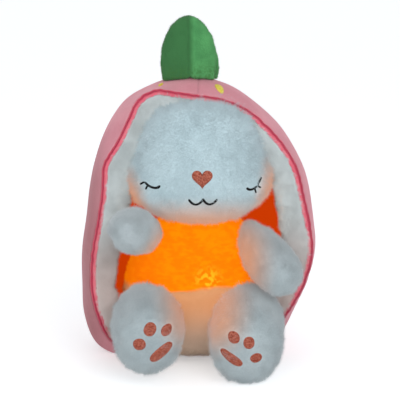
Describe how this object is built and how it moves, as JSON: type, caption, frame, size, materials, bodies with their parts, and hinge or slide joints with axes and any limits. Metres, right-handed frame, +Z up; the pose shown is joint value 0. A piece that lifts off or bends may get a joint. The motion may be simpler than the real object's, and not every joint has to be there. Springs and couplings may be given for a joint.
{
  "type": "plush night light",
  "caption": "Plush rabbit lamp seated in an opened strawberry shell with a zipped rim, a leaf on top and a press lamp behind its belly",
  "frame": {"origin": "on the surface it stands on, at the mount seat_base", "axes": "+Z up, -Y the front that the rabbit faces, +X to the right of someone who looks at the front"},
  "size_m": [0.211, 0.1756, 0.31],
  "materials": {
    "pink_velboa": "short velboa pile, pink",
    "white_fleece": "short white plush lining",
    "white_plush": "deep white plush pile",
    "zip_tape": "woven crimson tape with a coil",
    "zip_metal": "enamelled crimson",
    "green_plush": "short green plush",
    "yellow_felt": "yellow felt, sewn on",
    "brown_stitching": "dense satin stitching",
    "black_thread": "black stitching",
    "white_plastic": "moulded, fine texture",
    "clear_plastic": "frosted",
    "circuit_board": "solder mask",
    "amber_led": "cast resin",
    "dark_plastic": "moulded",
    "cell_sleeve": "printed sleeve, plain",
    "steel": "plain",
    "red_wire": "insulation"
  },
  "bodies": {
    "root": {"shell_outer": "pink_velboa", "shell_lining": "white_fleece", "zip_tape_top": "zip_tape", "zip_tape_base": "zip_tape", "seed_top_right": "yellow_felt", "seed_top_left": "yellow_felt", "seed_right_side": "yellow_felt", "seed_left_side": "yellow_felt", "seed_back_top": "yellow_felt", "seed_back_right": "yellow_felt", "seed_back_left": "yellow_felt", "torso": "white_plush", "lamp_case": "white_plastic", "lamp_bezel": "white_plastic", "led_board": "circuit_board", "led_1": "amber_led", "led_2": "amber_led", "led_3": "amber_led", "led_4": "amber_led", "switch_body": "dark_plastic", "battery_lead": "red_wire", "cell_1": "cell_sleeve", "cell_2": "cell_sleeve", "cell_3": "cell_sleeve", "contact_left": "steel", "contact_right": "steel"},
    "flap_left": {"flap_left": "pink_velboa", "flap_left_lining": "white_fleece", "zip_tape_left": "zip_tape"},
    "flap_right": {"flap_right": "pink_velboa", "flap_right_lining": "white_fleece", "zip_tape_right": "zip_tape"},
    "leaf": {"leaf_front": "green_plush", "leaf_back": "green_plush"},
    "head": {"head": "white_plush", "nose": "brown_stitching", "mouth": "black_thread", "eye_left": "black_thread", "eye_right": "black_thread"},
    "ear_left": {"ear_left": "white_plush"},
    "ear_right": {"ear_right": "white_plush"},
    "arm_left": {"arm_left": "white_plush"},
    "arm_right": {"arm_right": "white_plush"},
    "leg_left": {"leg_left": "white_plush", "toe_pad_outer_left": "brown_stitching", "toe_pad_middle_left": "brown_stitching", "toe_pad_inner_left": "brown_stitching", "ball_pad_left": "brown_stitching"},
    "leg_right": {"leg_right": "white_plush", "toe_pad_outer_right": "brown_stitching", "toe_pad_middle_right": "brown_stitching", "toe_pad_inner_right": "brown_stitching", "ball_pad_right": "brown_stitching"},
    "press_dome": {"press_dome": "clear_plastic"},
    "switch_plunger": {"switch_plunger": "white_plastic"},
    "battery_door": {"battery_door": "white_plastic", "door_screw": "steel"},
    "zip_slider": {"zip_slider": "zip_metal"},
    "zip_pull": {"zip_pull": "zip_metal"}
  },
  "joints": [
    {"name": "flap_left_fold", "type": "hinge", "parent": "root", "child": "flap_left", "pos_m": [-0.105, 0.004, 0.115], "axis": [0, 0, -1], "range_deg": [0, 25]},
    {"name": "flap_right_fold", "type": "hinge", "parent": "root", "child": "flap_right", "pos_m": [0.10605, 0.004, 0.115], "axis": [0, 0, 1], "range_deg": [0, 25]},
    {"name": "leaf_sway", "type": "hinge", "parent": "root", "child": "leaf", "pos_m": [-0.008, 0.005, 0.255], "axis": [1, 0, 0], "range_deg": [-10, 10], "stiffness_Nm_per_rad": 0.05},
    {"name": "head_nod", "type": "hinge", "parent": "root", "child": "head", "pos_m": [0, 0, 0.132], "axis": [1, 0, 0], "range_deg": [0, 3]},
    {"name": "ear_left_swing", "type": "hinge", "parent": "head", "child": "ear_left", "pos_m": [-0.0465, -0.004, 0.225], "axis": [-1, 0, 0], "range_deg": [0, 4]},
    {"name": "ear_right_swing", "type": "hinge", "parent": "head", "child": "ear_right", "pos_m": [0.0475, -0.004, 0.225], "axis": [-1, 0, 0], "range_deg": [0, 4]},
    {"name": "arm_left_lower", "type": "hinge", "parent": "root", "child": "arm_left", "pos_m": [-0.044, -0.01, 0.115], "axis": [1, 0, 0], "range_deg": [0, 18]},
    {"name": "arm_right_raise", "type": "hinge", "parent": "root", "child": "arm_right", "pos_m": [0.044, -0.01, 0.115], "axis": [-1, 0, 0], "range_deg": [0, 18]},
    {"name": "leg_left_lift", "type": "hinge", "parent": "root", "child": "leg_left", "pos_m": [-0.044, -0.004, 0.047], "axis": [-1, 0, 0], "range_deg": [0, 10]},
    {"name": "leg_right_lift", "type": "hinge", "parent": "root", "child": "leg_right", "pos_m": [0.044, -0.004, 0.047], "axis": [-1, 0, 0], "range_deg": [0, 10]},
    {"name": "lamp_press", "type": "slide", "parent": "root", "child": "press_dome", "axis": [0, 1, 0], "range_m": [0, 0.0012], "stiffness_N_per_m": 800},
    {"name": "switch_travel", "type": "slide", "parent": "root", "child": "switch_plunger", "axis": [0, 1, 0], "range_m": [0, 0.0012]},
    {"name": "battery_door_slide", "type": "slide", "parent": "root", "child": "battery_door", "axis": [0, 1, 0], "range_m": [0, 0.02]},
    {"name": "zip_slide", "type": "slide", "parent": "root", "child": "zip_slider", "axis": [1, 0, 0], "range_m": [-0.015, 0.015]},
    {"name": "zip_pull_swing", "type": "hinge", "parent": "zip_slider", "child": "zip_pull", "pos_m": [0, -0.0093, 0.00355], "axis": [0, 0, -1], "range_deg": [0, 80]}
  ],
  "couplings": [
    {"joint": "switch_travel", "follows": "lamp_press", "ratio": 1}
  ]
}
